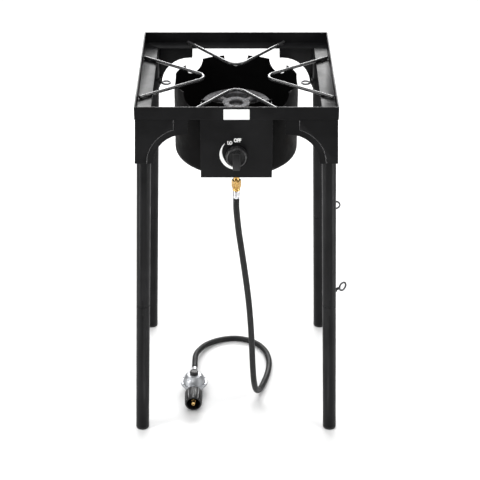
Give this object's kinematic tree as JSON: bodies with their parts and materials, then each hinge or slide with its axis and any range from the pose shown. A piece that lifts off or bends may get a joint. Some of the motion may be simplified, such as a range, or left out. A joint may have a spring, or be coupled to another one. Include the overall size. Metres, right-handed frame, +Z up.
{
  "type": "propane burner stand",
  "caption": "Square outdoor gas burner stand on four two-piece legs, with wire pot supports, a wind guard, a control knob and a hose.",
  "frame": {"origin": "centre of the stand's bounding box on the floor, 12 mm to the right of the square frame's own centre, because the eye screws stand out on the right", "axes": "+Z up, -Y towards the side with the control knob, +X to the right as seen from the front"},
  "size_m": [0.4648, 0.4798, 0.765],
  "materials": {
    "frame_paint": "semi-gloss black powder coat",
    "rod_enamel": "gloss black enamel",
    "guard_enamel": "matt black heat-resisting enamel",
    "cast_iron": "rough cast, painted dark grey",
    "brass": "machined",
    "zinc_steel": "zinc plated",
    "black_plastic": "fine moulded grain",
    "hose_rubber": "matt, fine ribbed",
    "die_cast_zinc": "satin die casting"
  },
  "bodies": {
    "stand": {"front_rail": "frame_paint", "back_rail": "frame_paint", "left_rail": "frame_paint", "right_rail": "frame_paint", "pot_support_front": "rod_enamel", "pot_support_back": "rod_enamel", "pot_support_left": "rod_enamel", "pot_support_right": "rod_enamel", "leg_bracket_rear_right": "frame_paint", "leg_bracket_rear_left": "frame_paint", "leg_bracket_front_left": "frame_paint", "leg_bracket_front_right": "frame_paint", "leg_socket_strap_rear_right": "frame_paint", "leg_socket_strap_rear_left": "frame_paint", "leg_socket_strap_front_left": "frame_paint", "leg_socket_strap_front_right": "frame_paint", "wind_guard": "guard_enamel", "burner_head": "cast_iron", "mixing_tube": "cast_iron", "burner_support_bar": "frame_paint", "burner_bolt": "zinc_steel", "control_box": "frame_paint", "valve_body": "brass", "valve_bonnet": "brass", "stem_spring": "zinc_steel", "gas_jet": "brass", "inlet_fitting": "brass", "hose_swivel_nut": "brass", "hose_ferrule_top": "zinc_steel", "gas_hose": "hose_rubber", "hose_ferrule_end": "zinc_steel", "regulator_body": "die_cast_zinc", "regulator_cap": "black_plastic", "cylinder_nipple": "brass"},
    "valve_plunger": {"stem_thrust_washer": "zinc_steel"},
    "knob": {"control_knob": "black_plastic", "valve_stem": "brass"},
    "air_shutter": {"air_shutter": "zinc_steel"},
    "cylinder_nut": {"cylinder_nut": "black_plastic"},
    "upper_leg_rear_right": {"upper_leg_rear_right": "frame_paint"},
    "lower_leg_rear_right": {"lower_leg_rear_right": "frame_paint", "foot_cap_rear_right": "black_plastic"},
    "socket_screw_rear_right": {"socket_eye_screw_rear_right": "rod_enamel"},
    "leg_screw_rear_right": {"leg_eye_screw_rear_right": "rod_enamel"},
    "upper_leg_rear_left": {"upper_leg_rear_left": "frame_paint"},
    "lower_leg_rear_left": {"lower_leg_rear_left": "frame_paint", "foot_cap_rear_left": "black_plastic"},
    "socket_screw_rear_left": {"socket_eye_screw_rear_left": "rod_enamel"},
    "leg_screw_rear_left": {"leg_eye_screw_rear_left": "rod_enamel"},
    "upper_leg_front_left": {"upper_leg_front_left": "frame_paint"},
    "lower_leg_front_left": {"lower_leg_front_left": "frame_paint", "foot_cap_front_left": "black_plastic"},
    "socket_screw_front_left": {"socket_eye_screw_front_left": "rod_enamel"},
    "leg_screw_front_left": {"leg_eye_screw_front_left": "rod_enamel"},
    "upper_leg_front_right": {"upper_leg_front_right": "frame_paint"},
    "lower_leg_front_right": {"lower_leg_front_right": "frame_paint", "foot_cap_front_right": "black_plastic"},
    "socket_screw_front_right": {"socket_eye_screw_front_right": "rod_enamel"},
    "leg_screw_front_right": {"leg_eye_screw_front_right": "rod_enamel"}
  },
  "joints": [
    {"name": "knob_push", "type": "slide", "parent": "stand", "child": "valve_plunger", "axis": [0, 1, 0], "range_m": [0, 0.003], "stiffness_N_per_m": 1500, "springref_m": -0.002, "deforming": ["stem_spring"]},
    {"name": "knob_turn", "type": "hinge", "parent": "valve_plunger", "child": "knob", "pos_m": [-0.012, -0.198, 0.662], "axis": [0, -1, 0], "range_deg": [0, 170]},
    {"name": "air_shutter_turn", "type": "hinge", "parent": "stand", "child": "air_shutter", "pos_m": [-0.012, -0.15, 0.662], "axis": [0, -1, 0], "range_deg": [0, 60]},
    {"name": "upper_leg_pull_rear_right", "type": "slide", "parent": "stand", "child": "upper_leg_rear_right", "axis": [0.0325, 0.0325, -0.9989], "range_m": [0, 0.09]},
    {"name": "lower_leg_pull_rear_right", "type": "slide", "parent": "upper_leg_rear_right", "child": "lower_leg_rear_right", "axis": [0.0325, 0.0325, -0.9989], "range_m": [0, 0.06]},
    {"name": "socket_screw_turn_rear_right", "type": "hinge", "parent": "stand", "child": "socket_screw_rear_right", "pos_m": [0.17259, 0.1846, 0.652], "axis": [-1, 0, 0], "continuous": true},
    {"name": "leg_screw_turn_rear_right", "type": "hinge", "parent": "upper_leg_rear_right", "child": "leg_screw_rear_right", "pos_m": [0.18277, 0.19477, 0.339], "axis": [1, 0, 0], "continuous": true},
    {"name": "upper_leg_pull_rear_left", "type": "slide", "parent": "stand", "child": "upper_leg_rear_left", "axis": [-0.0325, 0.0325, -0.9989], "range_m": [0, 0.09]},
    {"name": "lower_leg_pull_rear_left", "type": "slide", "parent": "upper_leg_rear_left", "child": "lower_leg_rear_left", "axis": [-0.0325, 0.0325, -0.9989], "range_m": [0, 0.06]},
    {"name": "socket_screw_turn_rear_left", "type": "hinge", "parent": "stand", "child": "socket_screw_rear_left", "pos_m": [-0.19659, 0.1846, 0.652], "axis": [1, 0, 0], "continuous": true},
    {"name": "leg_screw_turn_rear_left", "type": "hinge", "parent": "upper_leg_rear_left", "child": "leg_screw_rear_left", "pos_m": [-0.20677, 0.19477, 0.339], "axis": [0, 1, 0], "continuous": true},
    {"name": "upper_leg_pull_front_left", "type": "slide", "parent": "stand", "child": "upper_leg_front_left", "axis": [-0.0325, -0.0325, -0.9989], "range_m": [0, 0.09]},
    {"name": "lower_leg_pull_front_left", "type": "slide", "parent": "upper_leg_front_left", "child": "lower_leg_front_left", "axis": [-0.0325, -0.0325, -0.9989], "range_m": [0, 0.06]},
    {"name": "socket_screw_turn_front_left", "type": "hinge", "parent": "stand", "child": "socket_screw_front_left", "pos_m": [-0.19659, -0.1846, 0.652], "axis": [0, 1, 0], "continuous": true},
    {"name": "leg_screw_turn_front_left", "type": "hinge", "parent": "upper_leg_front_left", "child": "leg_screw_front_left", "pos_m": [-0.20677, -0.19477, 0.339], "axis": [0, 1, 0], "continuous": true},
    {"name": "upper_leg_pull_front_right", "type": "slide", "parent": "stand", "child": "upper_leg_front_right", "axis": [0.0325, -0.0325, -0.9989], "range_m": [0, 0.09]},
    {"name": "lower_leg_pull_front_right", "type": "slide", "parent": "upper_leg_front_right", "child": "lower_leg_front_right", "axis": [0.0325, -0.0325, -0.9989], "range_m": [0, 0.06]},
    {"name": "socket_screw_turn_front_right", "type": "hinge", "parent": "stand", "child": "socket_screw_front_right", "pos_m": [0.17259, -0.1846, 0.652], "axis": [0, 1, 0], "continuous": true},
    {"name": "leg_screw_turn_front_right", "type": "hinge", "parent": "upper_leg_front_right", "child": "leg_screw_front_right", "pos_m": [0.18277, -0.19477, 0.339], "axis": [0.766, 0.6428, 0], "continuous": true},
    {"name": "cylinder_nut_turn", "type": "hinge", "parent": "stand", "child": "cylinder_nut", "pos_m": [-0.107, -0.13, 0.021], "axis": [0, -1, 0], "continuous": true}
  ]
}
